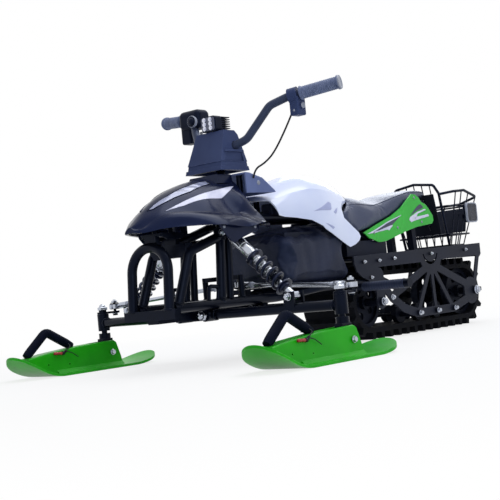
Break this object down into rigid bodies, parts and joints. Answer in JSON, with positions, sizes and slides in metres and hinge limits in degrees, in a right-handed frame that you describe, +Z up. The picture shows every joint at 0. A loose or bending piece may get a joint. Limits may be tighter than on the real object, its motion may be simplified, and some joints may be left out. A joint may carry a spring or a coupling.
{
  "type": "snowmobile",
  "caption": "Small youth snowmobile with a tube frame, steered plastic skis on sprung arms, a rubber track behind, a tank shell, a padded seat and a wire basket.",
  "frame": {"origin": "on the floor under the middle of the vehicle's length and width", "axes": "+X forward, +Y to the rider's left, +Z up"},
  "size_m": [1.591, 0.985, 0.722],
  "materials": {
    "ski_plastic": "glossy",
    "foam": "matte",
    "spindle_steel": "gloss",
    "arm_steel": "gloss",
    "damper_steel": "polished",
    "spring_steel": "gloss",
    "frame_steel": "gloss",
    "column_steel": "gloss",
    "zinc_steel": "satin",
    "bar_steel": "satin",
    "grip_rubber": "matte",
    "navy_plastic": "glossy",
    "control_plastic": "matte",
    "lamp_body": "matte",
    "lamp_lens": "clear",
    "cable": "matte",
    "track_rubber": "matte",
    "wheel_plastic": "matte",
    "plate_steel": "satin",
    "white_plastic": "glossy",
    "cover_vinyl": "satin",
    "block_steel": "satin",
    "seat_vinyl": "satin",
    "green_plastic": "glossy",
    "black_plastic": "matte",
    "wire_steel": "gloss",
    "reflector": "glossy"
  },
  "bodies": {
    "chassis": {"lower_arms": "arm_steel", "shock_dampers": "damper_steel", "shock_springs": "spring_steel", "lower_frame": "frame_steel", "upper_frame": "frame_steel", "front_hoop": "frame_steel", "nose_bracket": "frame_steel", "wiring_block": "control_plastic", "switch_cable": "cable", "track": "track_rubber", "rear_idler": "wheel_plastic", "drive_sprocket": "wheel_plastic", "lower_bogies": "wheel_plastic", "side_plates": "plate_steel", "tunnel_deck": "plate_steel", "front_cowl": "navy_plastic", "headlight_lenses": "lamp_lens", "dash_console": "navy_plastic", "tank_shell": "white_plastic", "battery_cover": "cover_vinyl", "battery_motor_block": "block_steel", "seat": "seat_vinyl", "tail_panels": "green_plastic", "seat_base": "black_plastic", "basket": "wire_steel", "basket_plate": "plate_steel", "side_reflectors": "reflector", "footpegs": "frame_steel"},
    "steering": {"steering_column": "column_steel", "handlebar": "bar_steel", "grips": "grip_rubber", "handlebar_pod": "navy_plastic", "left_switch": "control_plastic", "throttle_housing": "control_plastic", "work_lamp": "lamp_body", "work_lamp_lens": "lamp_lens"},
    "tie_left": {"tie_rod_left": "zinc_steel"},
    "kingpin_left": {"spindle_left": "spindle_steel"},
    "runner_left": {"ski_left": "ski_plastic", "ski_handle_left": "foam"},
    "tie_right": {"tie_rod_right": "zinc_steel"},
    "kingpin_right": {"spindle_right": "spindle_steel"},
    "runner_right": {"ski_right": "ski_plastic", "ski_handle_right": "foam"}
  },
  "joints": [
    {"name": "steer", "type": "hinge", "parent": "chassis", "child": "steering", "pos_m": [0.4085, 0, 0.185], "axis": [-0.1182, 0, 0.993], "range_deg": [-28, 28]},
    {"name": "kingpin_turn_left", "type": "hinge", "parent": "chassis", "child": "kingpin_left", "pos_m": [0.4635, 0.427, 0.13], "axis": [0, 0, 1], "range_deg": [-30, 30]},
    {"name": "tie_swing_left", "type": "hinge", "parent": "steering", "child": "tie_left", "pos_m": [0.3605, 0.019, 0.199], "axis": [-0.1182, 0, 0.993], "range_deg": [-32, 32]},
    {"name": "ski_rock_left", "type": "hinge", "parent": "kingpin_left", "child": "runner_left", "pos_m": [0.4635, 0.427, 0.044], "axis": [0, 1, 0], "range_deg": [-10, 10]},
    {"name": "kingpin_turn_right", "type": "hinge", "parent": "chassis", "child": "kingpin_right", "pos_m": [0.4635, -0.427, 0.13], "axis": [0, 0, 1], "range_deg": [-30, 30]},
    {"name": "tie_swing_right", "type": "hinge", "parent": "steering", "child": "tie_right", "pos_m": [0.3605, -0.019, 0.199], "axis": [-0.1182, 0, 0.993], "range_deg": [-32, 32]},
    {"name": "ski_rock_right", "type": "hinge", "parent": "kingpin_right", "child": "runner_right", "pos_m": [0.4635, -0.427, 0.044], "axis": [0, 1, 0], "range_deg": [-10, 10]}
  ],
  "couplings": [
    {"joint": "kingpin_turn_left", "follows": "steer", "ratio": 1.01},
    {"joint": "tie_swing_left", "follows": "steer", "ratio": -1.044},
    {"joint": "kingpin_turn_right", "follows": "steer", "ratio": 1.01},
    {"joint": "tie_swing_right", "follows": "steer", "ratio": -1.044}
  ]
}
